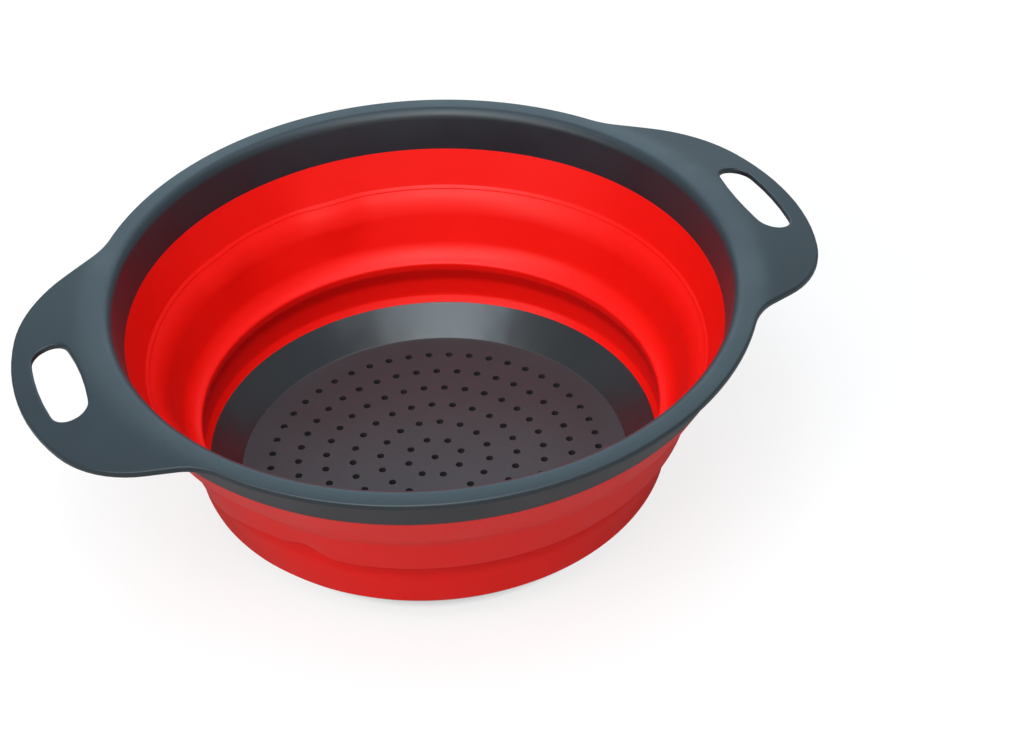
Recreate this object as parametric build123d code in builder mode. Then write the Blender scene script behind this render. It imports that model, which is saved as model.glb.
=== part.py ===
"""Collapsible silicone colander, standing open on its foot.

A hard plastic rim frame with two handles, a soft silicone wall that folds flat, and a
perforated plastic base. Millimetres, +Z up, handles along X. The origin is on the floor, at
the centre of the foot.
"""

from build123d import *
from math import atan2, cos, radians, sqrt, tan
import os

# Rim frame, from its outer edge inwards
rim_radius = 120.0
flange_overhang = 4.5
flange_land = 0.5
flange_thickness = 2.4
mouth_bevel = 3.1

# Rim frame, down its funnel wall to the silicone
funnel_taper = 14.0
funnel_depth = 15.5
band_wall = 4.0
wedge_depth = 6.0

# Handles and their grip slots
handle_reach = 27.7
handle_tip_radius = 91.0
handle_half_width = 52.0
handle_root_half_width = 65.3
handle_corner_share = 1.35
handle_root_share = 0.8
handle_land = 1.0
handle_slope = 13.5
slot_offset = 4.9
slot_width = 15.2
slot_length = 42.2
slot_corner_radius = 6.4
slot_bulge = 2.1

# Silicone wall, from the rim down: how far each stretch steps in and how far it drops
upper_band_inset = 5.2
upper_band_height = 12.7
shoulder_inset = 5.8
shoulder_drop = 4.8
panel_inset = 5.1
panel_height = 17.1
shelf_inset = 6.9
shelf_drop = 5.9
crest_land = 3.0
undercut_height = 6.0
undercut_bulge = 2.5
recess_height = 9.5
recess_inset = 3.1

# Silicone wall, thicknesses measured level
hinge_wall = 2.5
shoulder_lip = 3.3
panel_wall = 2.3
crease_wall = 3.4
neck_wall = 6.6
neck_drop = 3.1
heel_wall = 2.7
heel_height = 0.4

# Silicone lip, bonded round the edge of the base
lip_reach = 3.6
lip_wall = 1.0
edge_reach = 0.8
bond_clearance = 0.1

# Strainer base
plate_wall = 2.0
cone_width = 14.4
cone_rise = 10.5
disc_margin = 3.0
foot_height = 3.0
foot_wall = 2.0

# Strainer holes: one at the centre, and rings that each hold eight more than the one inside
hole_rings = 6
holes_in_first_ring = 8
hole_radius = 1.4
hole_sides = 6
hole_edge_margin = 1.0
hole_start_angle = -3.4

cut_overrun = 1.0
pick_tolerance = 0.1

# Heights, added up from the floor
disc_top = foot_height + plate_wall
base_seam_height = disc_top + cone_rise
recess_z = base_seam_height + recess_height
crest_z = recess_z + undercut_height
shelf_z = crest_z + crest_land
root_z = shelf_z + shelf_drop
panel_top_z = root_z + panel_height
hinge_z = panel_top_z + shoulder_drop
rim_seam_height = hinge_z + upper_band_height
total_height = rim_seam_height + funnel_depth
flange_underside = total_height - flange_thickness

# Radii, taken off from the rim inwards
skirt_top_radius = rim_radius - flange_overhang
mouth_radius = skirt_top_radius - flange_land - mouth_bevel
rim_seam_radius = mouth_radius - funnel_depth * tan(radians(funnel_taper))
hinge_radius = rim_seam_radius - upper_band_inset
panel_top_radius = hinge_radius - shoulder_inset
root_radius = panel_top_radius - panel_inset
crest_radius = root_radius - shelf_inset
recess_radius = crest_radius + undercut_bulge
base_seam_radius = recess_radius - recess_inset
disc_radius = base_seam_radius - cone_width
foot_radius = disc_radius - disc_margin
foot_inner_radius = foot_radius - foot_wall
ring_pitch = (foot_inner_radius - hole_edge_margin - hole_radius) / hole_rings

# Corners of the sections, as (radius, height): inner face of the wall, then outer face
base_seam = (base_seam_radius, base_seam_height)
recess = (recess_radius, recess_z)
crest = (crest_radius, crest_z)
shelf = (crest_radius, shelf_z)
root = (root_radius, root_z)
panel_top = (panel_top_radius, panel_top_z)
hinge = (hinge_radius, hinge_z)
rim_seam = (rim_seam_radius, rim_seam_height)
heel = (base_seam_radius + heel_wall, base_seam_height - heel_height)
neck = (crest_radius + neck_wall, root_z - neck_drop)
crease = (root_radius + crease_wall, root_z)
panel_top_outside = (panel_top_radius + panel_wall, panel_top_z - panel_wall)
hinge_outside = (hinge_radius + hinge_wall, hinge_z)
rim_seam_outside = (rim_seam_radius + band_wall, rim_seam_height)

# The upper band's outer face runs on a little way below the hinge, round the shoulder
band_lean = (upper_band_inset + band_wall - hinge_wall) / upper_band_height
shoulder_outside = (hinge_radius + hinge_wall - shoulder_lip * band_lean, hinge_z - shoulder_lip)

# Tip of the rim frame's wedge, which follows the middle of the upper band
wedge_lean = (upper_band_inset + band_wall / 2 - hinge_wall / 2) / upper_band_height
wedge_radius = rim_seam_radius + band_wall / 2 - wedge_depth * wedge_lean
wedge_z = rim_seam_height - wedge_depth

# The cone of the base, whose upper face runs on under the silicone as the bonded edge
cone_slope = cone_rise / cone_width
cone_drop = plate_wall / cos(atan2(cone_rise, cone_width))
edge_radius = base_seam_radius + edge_reach
lip_end_radius = base_seam_radius - lip_reach


def cone_top(radius):
    """Height of the cone's upper face at a radius."""
    return disc_top + (radius - disc_radius) * cone_slope


def cone_underside(radius):
    """Height of the cone's lower face at a radius."""
    return cone_top(radius) - cone_drop


# Corners of a handle and of its slot, before rounding
handle_tip_x = rim_radius + handle_reach
handle_corner_x = handle_tip_x - handle_tip_radius + sqrt(handle_tip_radius**2 - handle_half_width**2)
handle_root_x = sqrt(rim_radius**2 - handle_root_half_width**2)

# The roundings at both ends of a handle's side are shares of its length
handle_side = sqrt((handle_corner_x - handle_root_x) ** 2 + (handle_root_half_width - handle_half_width) ** 2)
handle_corner_radius = handle_side * handle_corner_share
handle_root_fillet = handle_side * handle_root_share

# The handles fall away from the rim as parts of one flat cone
slope_start_radius = rim_radius + handle_land
slope_end_radius = handle_tip_x + cut_overrun
slope_drop = (slope_end_radius - slope_start_radius) * tan(radians(handle_slope))

slot_inner_x = rim_radius + slot_offset
slot_outer_x = slot_inner_x + slot_width
slot_end_y = slot_length / 2

with BuildSketch() as handle_outline:
    with BuildLine():
        tip = ThreePointArc(
            (handle_corner_x, -handle_half_width),
            (handle_tip_x, 0),
            (handle_corner_x, handle_half_width),
        )
        Polyline(
            tip @ 1,
            (handle_root_x, handle_root_half_width),
            (handle_root_x, -handle_root_half_width),
            tip @ 0,
        )
    make_face()
    fillet(handle_outline.vertices().group_by(Axis.X)[-1], handle_corner_radius)

with BuildSketch() as slot_outline:
    with BuildLine():
        inner_side = ThreePointArc(
            (slot_inner_x + slot_bulge, -slot_end_y),
            (slot_inner_x, 0),
            (slot_inner_x + slot_bulge, slot_end_y),
        )
        outer_side = ThreePointArc(
            (slot_outer_x - slot_bulge, slot_end_y),
            (slot_outer_x, 0),
            (slot_outer_x - slot_bulge, -slot_end_y),
        )
        Line(inner_side @ 1, outer_side @ 0)
        Line(outer_side @ 1, inner_side @ 0)
    make_face()
    fillet(slot_outline.vertices(), slot_corner_radius)


def at_handle_root(corner):
    """True where the edge of a handle runs into the round edge of the flange."""
    return abs(abs(corner.Y) - handle_root_half_width) < pick_tolerance


# Rim frame: flat flange and sloping handles cut to their outline, then the funnel wall and its wedge
with BuildPart() as rim_frame:
    with BuildSketch(Plane.XZ):
        with BuildLine():
            Polyline(
                (mouth_radius + mouth_bevel, total_height),
                (slope_start_radius, total_height),
                (slope_end_radius, total_height - slope_drop),
                (slope_end_radius, flange_underside - slope_drop),
                (slope_start_radius, flange_underside),
                (mouth_radius + mouth_bevel, flange_underside),
                close=True,
            )
        make_face()
    revolve(axis=Axis.Z)
    with BuildSketch(Plane.XY.offset(flange_underside - slope_drop)) as flange:
        Circle(rim_radius)
        add(handle_outline.sketch)
        add(handle_outline.sketch, rotation=180)
        fillet(flange.vertices().filter_by(at_handle_root), handle_root_fillet)
        add(slot_outline.sketch, mode=Mode.SUBTRACT)
        add(slot_outline.sketch, rotation=180, mode=Mode.SUBTRACT)
    extrude(amount=flange_thickness + slope_drop, mode=Mode.INTERSECT)
    with BuildSketch(Plane.XZ):
        with BuildLine():
            Polyline(
                rim_seam,
                (mouth_radius, total_height - mouth_bevel),
                (mouth_radius + mouth_bevel, total_height),
                (skirt_top_radius, total_height),
                (skirt_top_radius, flange_underside),
                rim_seam_outside,
                (wedge_radius, wedge_z),
                close=True,
            )
        make_face()
    revolve(axis=Axis.Z)
rim_frame.part.label = "rim_frame"

# Silicone upper band: the stiff ring that holds the rim frame's wedge
with BuildPart() as silicone_upper_band:
    with BuildSketch(Plane.XZ):
        with BuildLine():
            Polyline(
                rim_seam,
                hinge,
                hinge_outside,
                rim_seam_outside,
                (wedge_radius, wedge_z),
                close=True,
            )
        make_face()
    revolve(axis=Axis.Z)
silicone_upper_band.part.label = "silicone_upper_band"

# Silicone fold wall: the thin shoulder and panel that turn inside out
with BuildPart() as silicone_fold_wall:
    with BuildSketch(Plane.XZ):
        with BuildLine():
            Polyline(
                hinge,
                panel_top,
                root,
                crease,
                panel_top_outside,
                shoulder_outside,
                hinge_outside,
                close=True,
            )
        make_face()
    revolve(axis=Axis.Z)
silicone_fold_wall.part.label = "silicone_fold_wall"

# Silicone lower band: the bead inside, the recess under it, and the lip round the base's edge
with BuildPart() as silicone_lower_band:
    groove_radius = edge_radius + bond_clearance
    with BuildSketch(Plane.XZ):
        with BuildLine():
            Polyline(
                (base_seam_radius, base_seam_height + bond_clearance),
                recess,
                crest,
                shelf,
                root,
                crease,
                neck,
                heel,
                (edge_radius, cone_underside(edge_radius) - lip_wall),
                (lip_end_radius, cone_underside(lip_end_radius) - bond_clearance),
                (groove_radius, cone_underside(groove_radius) - bond_clearance),
                (groove_radius, cone_top(groove_radius) + bond_clearance),
                close=True,
            )
        make_face()
    revolve(axis=Axis.Z)
silicone_lower_band.part.label = "silicone_lower_band"

# Strainer base: perforated disc, cone up to the silicone, and foot
with BuildPart() as strainer_base:
    with BuildSketch(Plane.XZ):
        with BuildLine():
            Polyline(
                (0, foot_height),
                (foot_inner_radius, foot_height),
                (foot_inner_radius, 0),
                (foot_radius, 0),
                (foot_radius, foot_height),
                (disc_radius + (cone_drop - plate_wall) / cone_slope, foot_height),
                (edge_radius, cone_underside(edge_radius)),
                (edge_radius, cone_top(edge_radius)),
                (disc_radius, disc_top),
                (0, disc_top),
                close=True,
            )
        make_face()
    revolve(axis=Axis.Z)
    with BuildSketch(Plane.XY.offset(foot_height - cut_overrun)):
        RegularPolygon(hole_radius, hole_sides)
        for ring in range(1, hole_rings + 1):
            with PolarLocations(ring * ring_pitch, ring * holes_in_first_ring, hole_start_angle):
                RegularPolygon(hole_radius, hole_sides)
    extrude(amount=plate_wall + 2 * cut_overrun, mode=Mode.SUBTRACT)
strainer_base.part.label = "strainer_base"

os.makedirs("parts", exist_ok=True)
export_step(rim_frame.part, "parts/rim_frame.step")
export_step(silicone_upper_band.part, "parts/silicone_upper_band.step")
export_step(silicone_fold_wall.part, "parts/silicone_fold_wall.step")
export_step(silicone_lower_band.part, "parts/silicone_lower_band.step")
export_step(strainer_base.part, "parts/strainer_base.step")
print(f"height {total_height:.1f}, disc radius {disc_radius:.1f}, ring pitch {ring_pitch:.2f}")
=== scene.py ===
"""Collapsible silicone colander standing open on a pale floor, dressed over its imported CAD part.

Metres, +Z up, in the frame of the part: handles along X, the origin on the floor at the foot's centre.
Sizes of the colander are named in millimetres, and MM turns them into metres where Blender takes them.
"""

from math import asin, atan2, cos, hypot, pi, radians, sin, sqrt, tan

import bmesh
import bpy
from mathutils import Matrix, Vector


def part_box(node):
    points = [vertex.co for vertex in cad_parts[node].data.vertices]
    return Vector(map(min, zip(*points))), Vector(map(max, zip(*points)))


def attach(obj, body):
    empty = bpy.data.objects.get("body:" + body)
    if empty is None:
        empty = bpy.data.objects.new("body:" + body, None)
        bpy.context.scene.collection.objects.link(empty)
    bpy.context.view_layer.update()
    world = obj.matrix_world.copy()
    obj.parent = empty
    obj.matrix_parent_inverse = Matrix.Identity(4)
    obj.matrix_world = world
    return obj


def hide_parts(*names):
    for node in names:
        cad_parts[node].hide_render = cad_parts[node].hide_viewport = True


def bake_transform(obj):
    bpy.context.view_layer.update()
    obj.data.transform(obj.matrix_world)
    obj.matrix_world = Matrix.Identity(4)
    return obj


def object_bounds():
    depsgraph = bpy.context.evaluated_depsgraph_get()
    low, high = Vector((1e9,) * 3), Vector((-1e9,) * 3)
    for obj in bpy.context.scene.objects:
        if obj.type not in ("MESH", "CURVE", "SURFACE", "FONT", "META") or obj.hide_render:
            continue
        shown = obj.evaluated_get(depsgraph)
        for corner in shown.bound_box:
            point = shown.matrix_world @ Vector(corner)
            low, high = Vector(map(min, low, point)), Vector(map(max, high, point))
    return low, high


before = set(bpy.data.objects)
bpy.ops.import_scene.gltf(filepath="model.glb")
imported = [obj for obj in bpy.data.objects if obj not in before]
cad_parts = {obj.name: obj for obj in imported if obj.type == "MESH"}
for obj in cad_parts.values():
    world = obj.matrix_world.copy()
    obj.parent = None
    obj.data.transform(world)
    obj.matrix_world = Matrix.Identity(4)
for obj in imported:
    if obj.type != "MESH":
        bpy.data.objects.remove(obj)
cad_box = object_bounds()

# Rim frame: one injection-moulded ring of slate grey polypropylene, with a flat flange, two handles
# with a grip slot each, and a funnel wall whose lower edge is a tongue. The silicone wall is moulded
# round that tongue, and nothing else holds the two together.
MM = 0.001
HANDLE_TIP = round(cad_box[1].x / MM, 1)
RIM_RADIUS = round(cad_box[1].y / MM, 1)
RIM_TOP = round(cad_box[1].z / MM, 1)
SEAM_HEIGHT = round(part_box("silicone_upper_band")[1].z / MM, 1)
FLANGE = 2.4
JOIN_RADIUS = 117.0  # where the flat plate with the handles meets the turned funnel
MOUTH_RADIUS = 111.1
SKIRT_RADIUS = 115.5
SEAM_INNER = 108.04
SEAM_OUTER = 112.04
TONGUE_RADIUS = 107.22
TONGUE_DEPTH = 6.0

TURN = 240  # steps of every full turn, so that pieces turned apart meet point on point
FEWEST_STEPS = 3  # a rounding gets steps by its radius, within these limits
MOST_STEPS = 9
STEPS_PER_MM = 1.4
SAME = 0.01  # places nearer than this are one place
MERGE = 0.001  # points of one outline or turn nearer than this become one
WELD = 0.02  # points of two joined meshes nearer than this become one


def start_outline(name, point):
    """Add a plane at the given place, merge it to one point and leave that point selected."""
    bpy.ops.object.select_all(action="DESELECT")
    bpy.ops.mesh.primitive_plane_add(size=MM, location=(0, 0, 0))
    made = bpy.context.object
    made.name = made.data.name = name
    bpy.ops.object.mode_set(mode="EDIT")
    bpy.context.tool_settings.mesh_select_mode = (True, False, False)
    bpy.ops.mesh.select_all(action="SELECT")
    bpy.ops.mesh.merge(type="CENTER")
    bpy.ops.transform.translate(value=[c * MM for c in point])
    return made


def draw_line(corners):
    """Extrude the selected point along corners in millimetres; the first one is where it is now."""
    for here, there in zip(corners, corners[1:]):
        step = [(b - a) * MM for a, b in zip(here, there)]
        bpy.ops.mesh.extrude_vertices_move(TRANSFORM_OT_translate={"value": step})


def pick(test, kind="VERT"):
    """Select the points whose place in millimetres passes a test, or the faces by middle and normal."""
    data = bmesh.from_edit_mesh(bpy.context.edit_object.data)
    bpy.context.tool_settings.mesh_select_mode = (kind == "VERT", False, kind == "FACE")
    bpy.ops.mesh.select_all(action="DESELECT")
    if kind == "VERT":
        for v in data.verts:
            v.select = bool(test(v.co / MM))
    else:
        for f in data.faces:
            f.select = bool(test(f.calc_center_median() / MM, f.normal))
    data.select_flush_mode()
    bmesh.update_edit_mesh(bpy.context.edit_object.data)


def round_corner(corner, radius, before, after):
    """Round one corner of a section, given as (radius, height) like its neighbours."""
    a = Vector(before) - Vector(corner)
    b = Vector(after) - Vector(corner)
    setback = radius / tan(a.angle(b) / 2)
    steps = max(FEWEST_STEPS, min(MOST_STEPS, round(radius * STEPS_PER_MM) + 2))
    pick(lambda p: abs(p.x - corner[0]) < SAME and abs(p.z - corner[1]) < SAME)
    bpy.ops.mesh.bevel(offset=setback * MM, affect="VERTICES", segments=steps, profile=0.5)


def turn_section(name, rows, closed=True):
    """Draw a section in the XZ plane, round its corners and spin it once round Z.

    Each row is a corner: its radius, its height and its rounding, which is 0 where it stays sharp.
    """
    corners = [row[:2] for row in rows]
    path = [(radius, 0, height) for radius, height in corners]
    if closed:
        path.append(path[0])
    made = start_outline(name, path[0])
    draw_line(path)
    bpy.ops.mesh.select_all(action="SELECT")
    bpy.ops.mesh.remove_doubles(threshold=MERGE * MM)
    for i, (radius, height, rounding) in enumerate(rows):
        if rounding:
            after = corners[(i + 1) % len(corners)]
            round_corner((radius, height), rounding, corners[i - 1], after)
    bpy.ops.mesh.select_all(action="SELECT")
    bpy.ops.mesh.spin(steps=TURN, angle=2 * pi, center=(0, 0, 0), axis=(0, 0, 1))
    bpy.ops.mesh.select_all(action="SELECT")
    bpy.ops.mesh.remove_doubles(threshold=MERGE * MM)
    bpy.ops.mesh.normals_make_consistent(inside=False)
    bpy.ops.object.mode_set(mode="OBJECT")
    return made


rim = turn_section(
    "rim_frame_moulding",
    [
        (JOIN_RADIUS, RIM_TOP, 0),
        (MOUTH_RADIUS, RIM_TOP, 4.2),
        (SEAM_INNER, SEAM_HEIGHT, 0.2),
        (TONGUE_RADIUS, SEAM_HEIGHT - TONGUE_DEPTH, 0),
        (SEAM_OUTER, SEAM_HEIGHT, 0.2),
        (SKIRT_RADIUS, RIM_TOP - FLANGE, 0.8),
        (JOIN_RADIUS, RIM_TOP - FLANGE, 0),
    ],
    closed=False,
)

# A quarter of the plate's outline: from a handle's tip round its corner, along its straight side and
# through its root to the round edge of the flange
TIP_ARC = 91.0
CORNER_ARC = 45.2
ROOT_ARC = 26.8
TIP_CENTRE = HANDLE_TIP - TIP_ARC
SIDE_START = Vector((131.38, 52.0))  # where the straight side would meet the tip's arc
SIDE_END = Vector((100.68, 65.3))  # where it would meet the flange's round edge
TIP_STEPS = 6
CORNER_STEPS = 10
ROOT_STEPS = 9
FLANGE_STEPS = 40
along = (SIDE_END - SIDE_START).normalized()
outward = Vector((along.y, -along.x))
side_distance = outward.dot(SIDE_START)


def centre_by(offset, pole, distance):
    """Centre of an arc that touches the handle's straight side and a circle round a pole on X."""
    level = side_distance + offset
    slide = sqrt(distance**2 - (level - outward.x * pole) ** 2)
    return outward * level + along * (along.x * pole - slide)


def draw_arc(centre, angle, steps):
    """Spin the selected point round a centre in millimetres; a positive angle turns towards +Y."""
    bpy.ops.mesh.spin(steps=steps, angle=-angle, center=(centre[0] * MM, centre[1] * MM, 0), axis=(0, 0, 1))


def mirror_over(made, axis):
    """Add an outline's mirror image on the other side of the origin, along X (0) or Y (1)."""
    mirror = made.modifiers.new("mirror", "MIRROR")
    mirror.use_axis = [axis == 0, axis == 1, False]
    mirror.merge_threshold = SAME * MM
    bpy.ops.object.modifier_apply(modifier=mirror.name)


corner_centre = centre_by(-CORNER_ARC, TIP_CENTRE, TIP_ARC - CORNER_ARC)
root_centre = centre_by(ROOT_ARC, 0, RIM_RADIUS + ROOT_ARC)
side_angle = atan2(outward.y, outward.x)
tip_angle = atan2(corner_centre.y, corner_centre.x - TIP_CENTRE)
root_angle = atan2(root_centre.y, root_centre.x)
side_length = (root_centre - corner_centre).dot(along)
quarter = start_outline("quarter", (HANDLE_TIP, 0, RIM_TOP))
draw_arc((TIP_CENTRE, 0), tip_angle, TIP_STEPS)
draw_arc(corner_centre, side_angle - tip_angle, CORNER_STEPS)
draw_line([(0, 0, 0), (along.x * side_length, along.y * side_length, 0)])
draw_arc(root_centre, root_angle - side_angle, ROOT_STEPS)
draw_arc((0, 0), pi / 2 - root_angle, FLANGE_STEPS)
bpy.ops.object.mode_set(mode="OBJECT")
mirror_over(quarter, 0)
mirror_over(quarter, 1)

# Both grip slots: long sides that bulge a little, and ends that are nearly round
SLOT_INNER = 124.9
SLOT_OUTER = 140.1
SLOT_HALF_LENGTH = 21.1
SLOT_BULGE = 2.1
SLOT_CORNER = 6.4
SLOT_STEPS = 6
SLOT_CORNER_STEPS = 9
slot_arc = (SLOT_HALF_LENGTH**2 + SLOT_BULGE**2) / (2 * SLOT_BULGE)
slot_sweep = 2 * asin(SLOT_HALF_LENGTH / slot_arc)
slot_end = SLOT_OUTER - SLOT_INNER - 2 * SLOT_BULGE
slot = start_outline("slot", (SLOT_INNER + SLOT_BULGE, -SLOT_HALF_LENGTH, RIM_TOP))
draw_arc((SLOT_INNER + slot_arc, 0), -slot_sweep, SLOT_STEPS)
draw_line([(0, 0, 0), (slot_end, 0, 0)])
draw_arc((SLOT_OUTER - slot_arc, 0), -slot_sweep, SLOT_STEPS)
draw_line([(0, 0, 0), (-slot_end, 0, 0)])
bpy.ops.mesh.select_all(action="SELECT")
bpy.ops.mesh.remove_doubles(threshold=SAME * MM)
pick(lambda p: abs(abs(p.y) - SLOT_HALF_LENGTH) < SAME)
setback = SLOT_CORNER * tan((pi / 2 - slot_sweep / 2) / 2)
bpy.ops.mesh.bevel(offset=setback * MM, affect="VERTICES", segments=SLOT_CORNER_STEPS, profile=0.5)
bpy.ops.object.mode_set(mode="OBJECT")
mirror_over(slot, 0)

# The plate between outline, slots and funnel: filled, thickened, and its outer edges rounded off
EDGE_INSET = 1.0
EDGE_ROUNDING = 0.6
EDGE_STEPS = 3
SHARP_ABOVE = radians(60)
JOIN_BAND = 0.2  # half width of the band round a joining radius in which its upright faces lie
UPRIGHT = 0.1  # greatest rise of an upright face's normal


def add_circle(sides, radius, place):
    """Add a circle, its radius and place in millimetres."""
    bpy.ops.mesh.primitive_circle_add(vertices=sides, radius=radius * MM, location=[c * MM for c in place])


def fill_outlines():
    """Fill the area between all outlines of the mesh in edit mode, with all faces looking one way."""
    bpy.ops.mesh.select_all(action="SELECT")
    bpy.ops.mesh.fill(use_beauty=True)
    bpy.ops.mesh.select_all(action="SELECT")
    bpy.ops.mesh.normals_make_consistent(inside=False)


def open_join(radius):
    """Delete the upright faces at a radius, where a thickened plate meets a turned piece."""
    pick(lambda c, n: abs(hypot(c.x, c.y) - radius) < JOIN_BAND and abs(n.z) < UPRIGHT, "FACE")
    bpy.ops.mesh.delete(type="FACE")


def weld(piece, addition):
    """Join an addition to a piece, merge the points where they meet, and stay in edit mode."""
    bpy.ops.object.select_all(action="DESELECT")
    addition.select_set(True)
    piece.select_set(True)
    bpy.context.view_layer.objects.active = piece
    bpy.ops.object.join()
    bpy.ops.object.mode_set(mode="EDIT")
    bpy.ops.mesh.select_all(action="SELECT")
    bpy.ops.mesh.remove_doubles(threshold=WELD * MM)
    bpy.ops.mesh.normals_make_consistent(inside=False)


bpy.ops.object.select_all(action="DESELECT")
add_circle(TURN, JOIN_RADIUS, (0, 0, RIM_TOP))
plate = bpy.context.object
bpy.ops.object.transform_apply(location=True)
quarter.select_set(True)
slot.select_set(True)
bpy.ops.object.join()
bpy.ops.object.mode_set(mode="EDIT")
fill_outlines()
pick(lambda c, n: True, "FACE")
bpy.ops.mesh.inset(thickness=EDGE_INSET * MM, depth=0, use_boundary=True, use_even_offset=True)
bpy.ops.mesh.select_all(action="SELECT")
bpy.ops.mesh.extrude_region_move(TRANSFORM_OT_translate={"value": (0, 0, -FLANGE * MM)})
bpy.ops.mesh.select_all(action="SELECT")
bpy.ops.mesh.normals_make_consistent(inside=False)
open_join(JOIN_RADIUS)
bpy.ops.mesh.select_all(action="DESELECT")
bpy.context.tool_settings.mesh_select_mode = (False, True, False)
bpy.ops.mesh.edges_select_sharp(sharpness=SHARP_ABOVE)
bpy.ops.mesh.bevel(offset=EDGE_ROUNDING * MM, affect="EDGES", segments=EDGE_STEPS, profile=0.5)
bpy.ops.object.mode_set(mode="OBJECT")
weld(rim, plate)

# The handles are cut into small faces, and then fall away from the rim as parts of one flat cone
SLOPE = tan(radians(13.5))
BEND_START = JOIN_RADIUS  # between these radii the flat flange turns smoothly into the slope
BEND_END = 125.0
HANDLE_START = 94.0  # the faces of the handles lie farther out along X than this
HANDLE_SIDE = 70.0  # and no farther out along Y than this
CUTS_EACH_WAY = 48
CUTS = [(0, 3.0, 96.0), (1, 4.0, 0.0)]  # axis, distance between cuts, and how far out the first one is
SMOOTH_BELOW = radians(35)


def on_handle(centre, normal):
    """True for a face of a handle or of the flange beside it, and not of the funnel."""
    on_plate = hypot(centre.x, centre.y) > JOIN_RADIUS
    return on_plate and abs(centre.x) > HANDLE_START and abs(centre.y) < HANDLE_SIDE


def fall(radius):
    """How far the flange or a handle lies under the rim's flat top at a radius."""
    if radius < BEND_END:
        return SLOPE * max(radius - BEND_START, 0) ** 2 / (2 * (BEND_END - BEND_START))
    return SLOPE * (radius - (BEND_START + BEND_END) / 2)


for across, spacing, first in CUTS:
    for cut in range(-CUTS_EACH_WAY, CUTS_EACH_WAY + 1):
        place = cut * spacing
        if abs(place) < first:
            continue
        pick(on_handle, "FACE")
        bpy.ops.mesh.bisect(
            plane_co=[place * MM if across == axis else 0 for axis in range(3)],
            plane_no=[1 if across == axis else 0 for axis in range(3)],
        )
bpy.ops.object.mode_set(mode="OBJECT")
tip_fall = fall(HANDLE_TIP)
slope_group = rim.vertex_groups.new(name="slope")
for v in rim.data.vertices:
    slope_group.add([v.index], fall(hypot(v.co.x, v.co.y) / MM) / tip_fall, "REPLACE")
slope = rim.modifiers.new("slope", "DISPLACE")
slope.direction = "Z"
slope.mid_level = 0.0
slope.strength = -tip_fall * MM
slope.vertex_group = slope_group.name
bpy.ops.object.modifier_apply(modifier=slope.name)
bpy.ops.object.shade_smooth_by_angle(angle=SMOOTH_BELOW)


def colour(hex_value):
    """An sRGB hex value as the linear colour that the shaders take."""
    parts = [int(hex_value[i : i + 2], 16) / 255 for i in (1, 3, 5)]
    return [c / 12.92 if c <= 0.04045 else ((c + 0.055) / 1.055) ** 2.4 for c in parts] + [1.0]


def node(tree, kind, settings=None, inputs=None):
    """Add a node, set its properties and sockets, and link the sockets that are given as an output."""
    made = tree.nodes.new(kind)
    for key, value in (settings or {}).items():
        setattr(made, key, value)
    for key, value in (inputs or {}).items():
        if isinstance(value, bpy.types.NodeSocket):
            tree.links.new(value, made.inputs[key])
        else:
            made.inputs[key].default_value = value
    return made


def new_material(name):
    """An empty node material; returns it with its tree, its output node and the object coordinates."""
    made = bpy.data.materials.new(name)
    made.use_nodes = True
    made.node_tree.nodes.clear()
    tree = made.node_tree
    output = node(tree, "ShaderNodeOutputMaterial")
    place = node(tree, "ShaderNodeTexCoord").outputs["Object"]
    return made, tree, output, place


# Polypropylene from a spark-eroded mould: dark slate and satin. Its grain of about 0.4 mm only softens
# the gloss, and the tone drifts a little over a few centimetres, as it does where the melt has flowed.
GRAIN = 0.4 * MM
GRAIN_DEPTH = 0.012 * MM
DRIFT = 25.0 * MM
POLYPROPYLENE_IOR = 1.49
rim_plastic, tree, output, place = new_material("moulded_polypropylene_slate")
drift = node(tree, "ShaderNodeTexNoise", None, {"Vector": place, "Scale": 1 / DRIFT, "Detail": 3.0})
grain = node(tree, "ShaderNodeTexNoise", None, {"Vector": place, "Scale": 1 / GRAIN, "Detail": 2.0})
tint = node(
    tree,
    "ShaderNodeMix",
    {"data_type": "RGBA"},
    {"Factor": drift.outputs["Fac"], 6: colour("#19232a"), 7: colour("#1f2b32")},
)
gloss = node(
    tree,
    "ShaderNodeMapRange",
    None,
    {"Value": drift.outputs["Fac"], "From Min": 0.3, "From Max": 0.7, "To Min": 0.36, "To Max": 0.46},
)
bump = node(
    tree,
    "ShaderNodeBump",
    None,
    {"Height": grain.outputs["Fac"], "Strength": 0.5, "Distance": GRAIN_DEPTH},
)
shader = node(
    tree,
    "ShaderNodeBsdfPrincipled",
    None,
    {
        "Base Color": tint.outputs[2],
        "Roughness": gloss.outputs["Result"],
        "IOR": POLYPROPYLENE_IOR,
        "Normal": bump.outputs["Normal"],
    },
)
tree.links.new(shader.outputs["BSDF"], output.inputs["Surface"])
rim.data.materials.clear()
rim.data.materials.append(rim_plastic)
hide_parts("rim_frame")
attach(rim, "rim")

# Silicone wall: one compression-moulded piece of red silicone rubber from the rim's tongue to the edge
# of the base. A fine step marks where its stiff upper band ends and the thin folding panel begins, and
# the bead under the panel is what the panel turns round when the bowl is pushed flat.
SEAM_GAP = 0.03
TONGUE_GAP = 0.05
BASE_GAP = 0.1
EDGE_GAP = 0.15
BASE_EDGE = 85.2
GROOVE = BASE_EDGE + EDGE_GAP
LIP_TOP_END = 84.2
LIP_UNDER_END = 80.8
LIP_CORNER = 84.9
LIP_SAG = 0.2
PLATE = 2.0
DISC_TOP = 5.0
DISC_EDGE = 73.3
CONE_SLOPE = 0.93
CONE_DROP = PLATE / cos(atan2(CONE_SLOPE, 1))


def cone_top(radius):
    """Height of the base cone's upper face at a radius."""
    return DISC_TOP + (radius - DISC_EDGE) * CONE_SLOPE


def cone_under(radius):
    """Height of the base cone's lower face at a radius."""
    return cone_top(radius) - CONE_DROP


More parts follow.
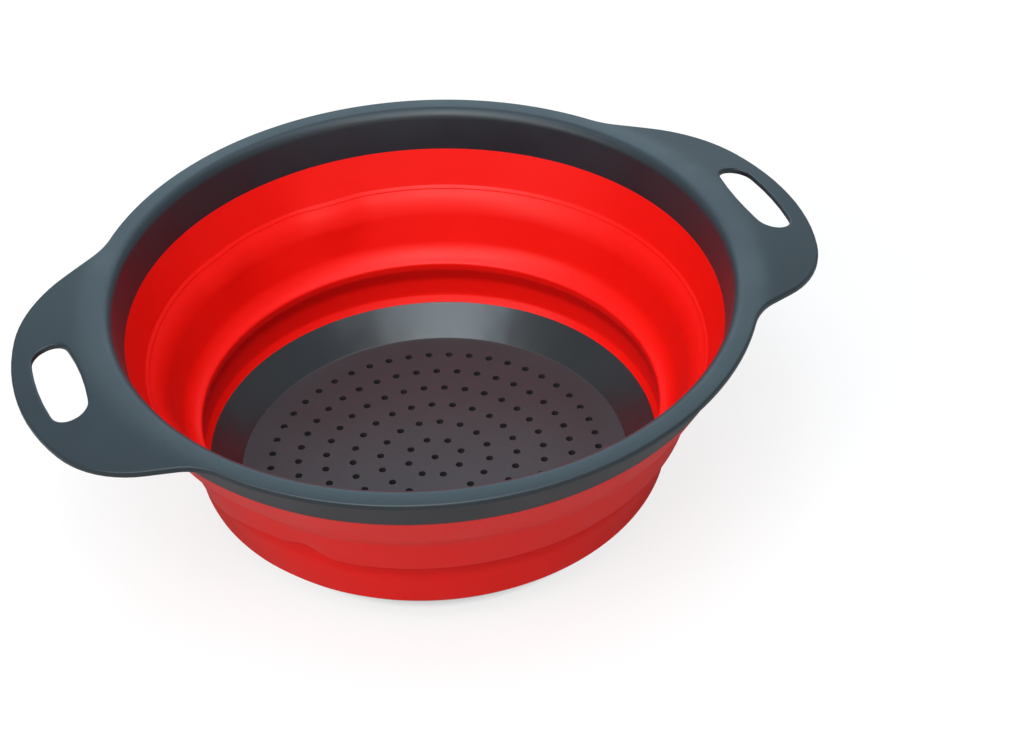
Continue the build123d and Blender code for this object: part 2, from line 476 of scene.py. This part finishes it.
wall = turn_section(
    "silicone_wall",
    [
        (SEAM_INNER, SEAM_HEIGHT - SEAM_GAP, 0.06),  # seam with the funnel, inside
        (102.35, 60.7, 0.4),  # foot of the upper band
        (101.3, 59.75, 0.15),  # fine step
        (101.2, 59.35, 0.15),
        (96.65, 54.7, 20.0),  # shoulder, which runs into the panel
        (90.4, 36.8, 10.5),  # panel, which runs into the bead
        (85.0, 34.0, 1.1),  # bead
        (85.0, 31.0, 2.2),
        (87.2, 25.0, 5.0),  # recess under the bead
        (86.2, 17.9, 2.5),
        (LIP_TOP_END, cone_top(LIP_TOP_END) + BASE_GAP, 0),  # lip over, round and under the base's edge
        (GROOVE, cone_top(GROOVE) + BASE_GAP, 0),
        (GROOVE, cone_under(GROOVE) - BASE_GAP, 0),
        (LIP_UNDER_END, cone_under(LIP_UNDER_END) - BASE_GAP, 0),
        (LIP_CORNER, cone_under(LIP_CORNER) - LIP_SAG, 0),
        (87.7, 15.8, 1.6),  # heel
        (89.4, 28.5, 7.0),  # bulge of the lower band
        (88.0, 34.3, 1.5),  # groove under the crease
        (95.9, 39.1, 0.8),  # crease
        (99.5, 54.0, 8.0),  # panel and shoulder, outside
        (103.5, 58.5, 2.5),
        (SEAM_OUTER, SEAM_HEIGHT - SEAM_GAP, 0.06),  # seam with the funnel, outside
        (TONGUE_RADIUS, SEAM_HEIGHT - TONGUE_DEPTH - TONGUE_GAP, 0),  # round the tongue
    ],
)

# The wall has been folded before, and stands with soft dents: each is a place on it, a push, and the
# distance over which the push fades, all in millimetres
DENTS = [
    ((-77.0, -56.2, 39.9), (-0.6, -0.6, 3.6), 30.0),
    ((-69.8, -64.9, 39.9), (-0.4, -0.4, 3.4), 10.0),
    ((-95.3, -10.0, 40.5), (2.4, 0.3, 0.0), 27.0),
    ((-3.4, 97.4, 55.0), (0.1, -1.5, 0.0), 16.0),
    ((-31.5, 86.5, 44.0), (0.5, -1.4, 0.0), 14.0),
    ((-54.5, 80.8, 55.0), (0.6, -0.9, 0.0), 14.0),
]
TOUCH = 2.0  # the points this near to the place take the whole push
WALL_SMOOTH_BELOW = radians(50)
bpy.ops.object.mode_set(mode="EDIT")
for spot, push, fade in DENTS:
    pick(lambda p: (p - Vector(spot)).length < TOUCH)
    bpy.ops.transform.translate(
        value=[c * MM for c in push],
        use_proportional_edit=True,
        proportional_edit_falloff="SMOOTH",
        proportional_size=fade * MM,
    )
bpy.ops.object.mode_set(mode="OBJECT")
bpy.ops.object.shade_smooth_by_angle(angle=WALL_SMOOTH_BELOW)

# Silicone rubber, matte from its sand-blasted mould: a strong red with a soft, broad sheen, and a grain
# of about 0.6 mm that breaks the sheen up
SKIN = 0.6 * MM
SKIN_DEPTH = 0.02 * MM
SILICONE_IOR = 1.41
silicone, tree, output, place = new_material("matte_silicone_red")
drift = node(tree, "ShaderNodeTexNoise", None, {"Vector": place, "Scale": 1 / DRIFT, "Detail": 4.0})
grain = node(tree, "ShaderNodeTexNoise", None, {"Vector": place, "Scale": 1 / SKIN, "Detail": 2.0})
tint = node(
    tree,
    "ShaderNodeMix",
    {"data_type": "RGBA"},
    {"Factor": drift.outputs["Fac"], 6: colour("#f20f07"), 7: colour("#fc1208")},
)
gloss = node(
    tree,
    "ShaderNodeMapRange",
    None,
    {"Value": drift.outputs["Fac"], "From Min": 0.3, "From Max": 0.7, "To Min": 0.38, "To Max": 0.46},
)
bump = node(
    tree,
    "ShaderNodeBump",
    None,
    {"Height": grain.outputs["Fac"], "Strength": 0.5, "Distance": SKIN_DEPTH},
)
shader = node(
    tree,
    "ShaderNodeBsdfPrincipled",
    None,
    {
        "Base Color": tint.outputs[2],
        "Roughness": gloss.outputs["Result"],
        "IOR": SILICONE_IOR,
        "Specular IOR Level": 0.35,
        "Normal": bump.outputs["Normal"],
    },
)
tree.links.new(shader.outputs["BSDF"], output.inputs["Surface"])
wall.data.materials.clear()
wall.data.materials.append(silicone)
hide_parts("silicone_upper_band", "silicone_fold_wall", "silicone_lower_band")
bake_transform(wall)

# Strainer base: one injection-moulded dish of polypropylene. A sloping border runs under the silicone,
# a flat disc holds one hole at the centre and six rings of holes, and a thin foot ring under the disc
# carries the bowl.
DISC_UNDER = DISC_TOP - PLATE
DISC_JOIN = 64.5  # where the flat, perforated middle meets the turned border
FOOT_OUTER = 67.0
FOOT_INNER = 65.0
base = turn_section(
    "strainer_base_moulding",
    [
        (DISC_JOIN, DISC_TOP, 0),
        (DISC_EDGE, DISC_TOP, 1.0),
        (BASE_EDGE, cone_top(BASE_EDGE), 0.4),
        (BASE_EDGE, cone_under(BASE_EDGE), 0),
        (DISC_EDGE + (CONE_DROP - PLATE) / CONE_SLOPE, DISC_UNDER, 2.0),
        (FOOT_OUTER, DISC_UNDER, 0),
        (FOOT_OUTER, 0, 0.5),
        (FOOT_INNER, 0, 0.5),
        (FOOT_INNER, DISC_UNDER, 0),
        (DISC_JOIN, DISC_UNDER, 0),
    ],
    closed=False,
)

RINGS = 6
HOLES_IN_FIRST_RING = 8
HOLE_RADIUS = 1.4
HOLE_SIDES = 16
RING_PITCH = 10.433
RING_START = radians(-3.4)
bpy.ops.object.select_all(action="DESELECT")
add_circle(TURN, DISC_JOIN, (0, 0, DISC_TOP))
disc = bpy.context.object
bpy.ops.object.transform_apply(location=True)
bpy.ops.object.mode_set(mode="EDIT")
add_circle(HOLE_SIDES, HOLE_RADIUS, (0, 0, DISC_TOP))
for ring in range(1, RINGS + 1):
    out = ring * RING_PITCH
    count = ring * HOLES_IN_FIRST_RING
    copies = count - 1
    bpy.ops.mesh.select_all(action="DESELECT")
    add_circle(HOLE_SIDES, HOLE_RADIUS, (out * cos(RING_START), out * sin(RING_START), DISC_TOP))
    bpy.ops.mesh.spin(
        steps=copies, dupli=True, angle=2 * pi * copies / count, center=(0, 0, 0), axis=(0, 0, 1)
    )
fill_outlines()
bpy.ops.mesh.extrude_region_move(TRANSFORM_OT_translate={"value": (0, 0, -PLATE * MM)})
open_join(DISC_JOIN)
bpy.ops.object.mode_set(mode="OBJECT")
weld(base, disc)
bpy.ops.object.mode_set(mode="OBJECT")
bpy.ops.object.shade_smooth_by_angle(angle=SMOOTH_BELOW)

# The same polypropylene, in a darker grey, and darker still on the border, partly as painted shade. The
# border comes from a polished part of the mould, so it mirrors the light, a little unevenly over a
# centimetre or two. The disc is duller, browner and lighter.
WAVE = 14.0 * MM
WAVE_DEPTH = 0.5 * MM
DULL_END = 72.9 * MM
POLISH_START = 73.6 * MM


def axis_distance(tree, place):
    """Output with the distance in metres of a shaded point from the bowl's axis."""
    level = node(tree, "ShaderNodeVectorMath", {"operation": "MULTIPLY"}, {0: place, 1: (1.0, 1.0, 0.0)})
    length = node(tree, "ShaderNodeVectorMath", {"operation": "LENGTH"}, {0: level.outputs["Vector"]})
    return length.outputs["Value"]


base_plastic, tree, output, place = new_material("moulded_polypropylene_dark")
drift = node(tree, "ShaderNodeTexNoise", None, {"Vector": place, "Scale": 1 / DRIFT, "Detail": 3.0})
grain = node(tree, "ShaderNodeTexNoise", None, {"Vector": place, "Scale": 1 / GRAIN, "Detail": 2.0})
wave = node(tree, "ShaderNodeTexNoise", None, {"Vector": place, "Scale": 1 / WAVE, "Detail": 1.0})
border = node(
    tree,
    "ShaderNodeMapRange",
    None,
    {"Value": axis_distance(tree, place), "From Min": DULL_END, "From Max": POLISH_START},
)
# The border's grey is set darker than the disc's partly as painted shade
border_tint_and_painted_shade = node(
    tree,
    "ShaderNodeMix",
    {"data_type": "RGBA"},
    {"Factor": drift.outputs["Fac"], 6: colour("#1c2023"), 7: colour("#23282c")},
)
disc_tint = node(
    tree,
    "ShaderNodeMix",
    {"data_type": "RGBA"},
    {"Factor": drift.outputs["Fac"], 6: colour("#2b2b2e"), 7: colour("#353437")},
)
tint = node(
    tree,
    "ShaderNodeMix",
    {"data_type": "RGBA"},
    {"Factor": border.outputs["Result"], 6: disc_tint.outputs[2], 7: border_tint_and_painted_shade.outputs[2]},
)
gloss = node(
    tree,
    "ShaderNodeMapRange",
    None,
    {"Value": border.outputs["Result"], "To Min": 0.52, "To Max": 0.24},
)
grain_bump = node(
    tree,
    "ShaderNodeBump",
    None,
    {"Height": grain.outputs["Fac"], "Strength": 0.4, "Distance": GRAIN_DEPTH},
)
wave_bump = node(
    tree,
    "ShaderNodeBump",
    None,
    {
        "Height": wave.outputs["Fac"],
        "Strength": 0.5,
        "Distance": WAVE_DEPTH,
        "Normal": grain_bump.outputs["Normal"],
    },
)
shader = node(
    tree,
    "ShaderNodeBsdfPrincipled",
    None,
    {
        "Base Color": tint.outputs[2],
        "Roughness": gloss.outputs["Result"],
        "IOR": POLYPROPYLENE_IOR,
        "Normal": wave_bump.outputs["Normal"],
    },
)
tree.links.new(shader.outputs["BSDF"], output.inputs["Surface"])
base.data.materials.clear()
base.data.materials.append(base_plastic)
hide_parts("strainer_base")
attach(base, "base")

# Studio: a pale floor that runs out of the picture, a white room that shows mostly in the gloss, and six
# soft lamps. To the camera the room is plain white, and a glow lifts the floor to white while it keeps the
# bowl's shadow: none under the disc, and more of it farther away, where the lamps fade.
FLOOR_WIDTH = 12.0
FLOOR_DROP = 0.5 * MM
SHADE_END = 64.0 * MM
GLOW_START = 75.0 * MM
GLOW = 0.80
NEAR_FLOOR = 0.3
FAR_FLOOR = 1.2
FAR_GLOW = 1.26
bpy.ops.object.select_all(action="DESELECT")
bpy.ops.mesh.primitive_plane_add(size=FLOOR_WIDTH, location=(0, 0, -FLOOR_DROP))
floor = bpy.context.object
floor.name = "floor"
paper, tree, output, place = new_material("matte_white_paper")
ray = node(tree, "ShaderNodeLightPath")
out_from_axis = axis_distance(tree, place)
open_floor = node(
    tree,
    "ShaderNodeMapRange",
    None,
    {"Value": out_from_axis, "From Min": SHADE_END, "From Max": GLOW_START, "To Max": GLOW},
)
far_floor = node(
    tree,
    "ShaderNodeMapRange",
    None,
    {
        "Value": out_from_axis,
        "From Min": NEAR_FLOOR,
        "From Max": FAR_FLOOR,
        "To Min": 1.0,
        "To Max": FAR_GLOW,
    },
)
glow_level = node(
    tree,
    "ShaderNodeMath",
    {"operation": "MULTIPLY"},
    {0: open_floor.outputs["Result"], 1: far_floor.outputs["Result"]},
)
lit_paper = node(tree, "ShaderNodeBsdfDiffuse", None, {"Color": colour("#c8c8c8")})
seen_paper = node(tree, "ShaderNodeBsdfDiffuse", None, {"Color": colour("#848484")})
glow = node(
    tree,
    "ShaderNodeEmission",
    None,
    {"Color": colour("#ffffff"), "Strength": glow_level.outputs["Value"]},
)
both = node(tree, "ShaderNodeAddShader", None, {0: seen_paper.outputs["BSDF"], 1: glow.outputs["Emission"]})
seen = node(
    tree,
    "ShaderNodeMixShader",
    None,
    {"Fac": ray.outputs["Is Camera Ray"], 1: lit_paper.outputs["BSDF"], 2: both.outputs["Shader"]},
)
tree.links.new(seen.outputs["Shader"], output.inputs["Surface"])
floor.data.materials.append(paper)

world = bpy.data.worlds.new("white_room")
bpy.context.scene.world = world
world.use_nodes = True
tree = world.node_tree
tree.nodes.clear()
ray = node(tree, "ShaderNodeLightPath")
room = node(tree, "ShaderNodeBackground", None, {"Color": colour("#f4f8ff"), "Strength": 0.05})
mirrored = node(tree, "ShaderNodeBackground", None, {"Color": colour("#eaf8ff"), "Strength": 0.62})
white = node(tree, "ShaderNodeBackground", None, {"Color": colour("#ffffff"), "Strength": 1.0})
lit = node(
    tree,
    "ShaderNodeMixShader",
    None,
    {"Fac": ray.outputs["Is Glossy Ray"], 1: room.outputs["Background"], 2: mirrored.outputs["Background"]},
)
shown = node(
    tree,
    "ShaderNodeMixShader",
    None,
    {"Fac": ray.outputs["Is Camera Ray"], 1: lit.outputs["Shader"], 2: white.outputs["Background"]},
)
node(tree, "ShaderNodeOutputWorld", None, {"Surface": shown.outputs["Shader"]})

# Each lamp has a name, a place and a size in metres, a power in watts and a colour, and points at the bowl
LAMPS = [
    ("key_softbox", (-0.34, -0.42, 1.30), (0.9, 0.7), 7.0, "#dcf1ff"),
    ("overhead_softbox", (0.0, 0.0, 1.40), (1.1, 0.9), 7.6, "#e8f5ff"),
    ("camera_softbox", (-0.30, -0.75, 1.15), (1.1, 0.6), 7.3, "#fff4e6"),
    ("front_softbox", (-0.10, -1.50, 0.35), (1.6, 0.5), 1.8, "#fff4e6"),
    ("left_softbox", (-1.10, -0.35, 0.95), (0.8, 0.7), 5.2, "#fffaf2"),
    ("back_softbox", (0.33, 1.05, 0.78), (1.2, 0.6), 4.9, "#cbeeff"),
]
LAMP_AIM = Vector((0, 0, 0.05))
for name, lamp_place, lamp_size, power, tone in LAMPS:
    bpy.ops.object.light_add(type="AREA", location=lamp_place)
    lamp = bpy.context.object
    lamp.name = name
    lamp.data.shape = "RECTANGLE"
    lamp.data.size, lamp.data.size_y = lamp_size
    lamp.data.energy = power
    lamp.data.color = colour(tone)[:3]
    lamp.rotation_euler = (LAMP_AIM - lamp.location).to_track_quat("-Z", "Y").to_euler()

# The camera stands where the photo was taken from, in metres and degrees
CAMERA_PLACE = (-0.19383, -0.5955, 0.55266)
CAMERA_TURN = (51.0322, 1.6703, -22.3198)
bpy.ops.object.camera_add(location=CAMERA_PLACE, rotation=[radians(angle) for angle in CAMERA_TURN])
camera = bpy.context.object
camera.data.lens = 75.966
camera.data.sensor_width = 36.0
camera.data.sensor_fit = "HORIZONTAL"
camera.data.clip_start = 0.01
bpy.context.scene.camera = camera
bpy.context.scene.view_settings.view_transform = "Standard"
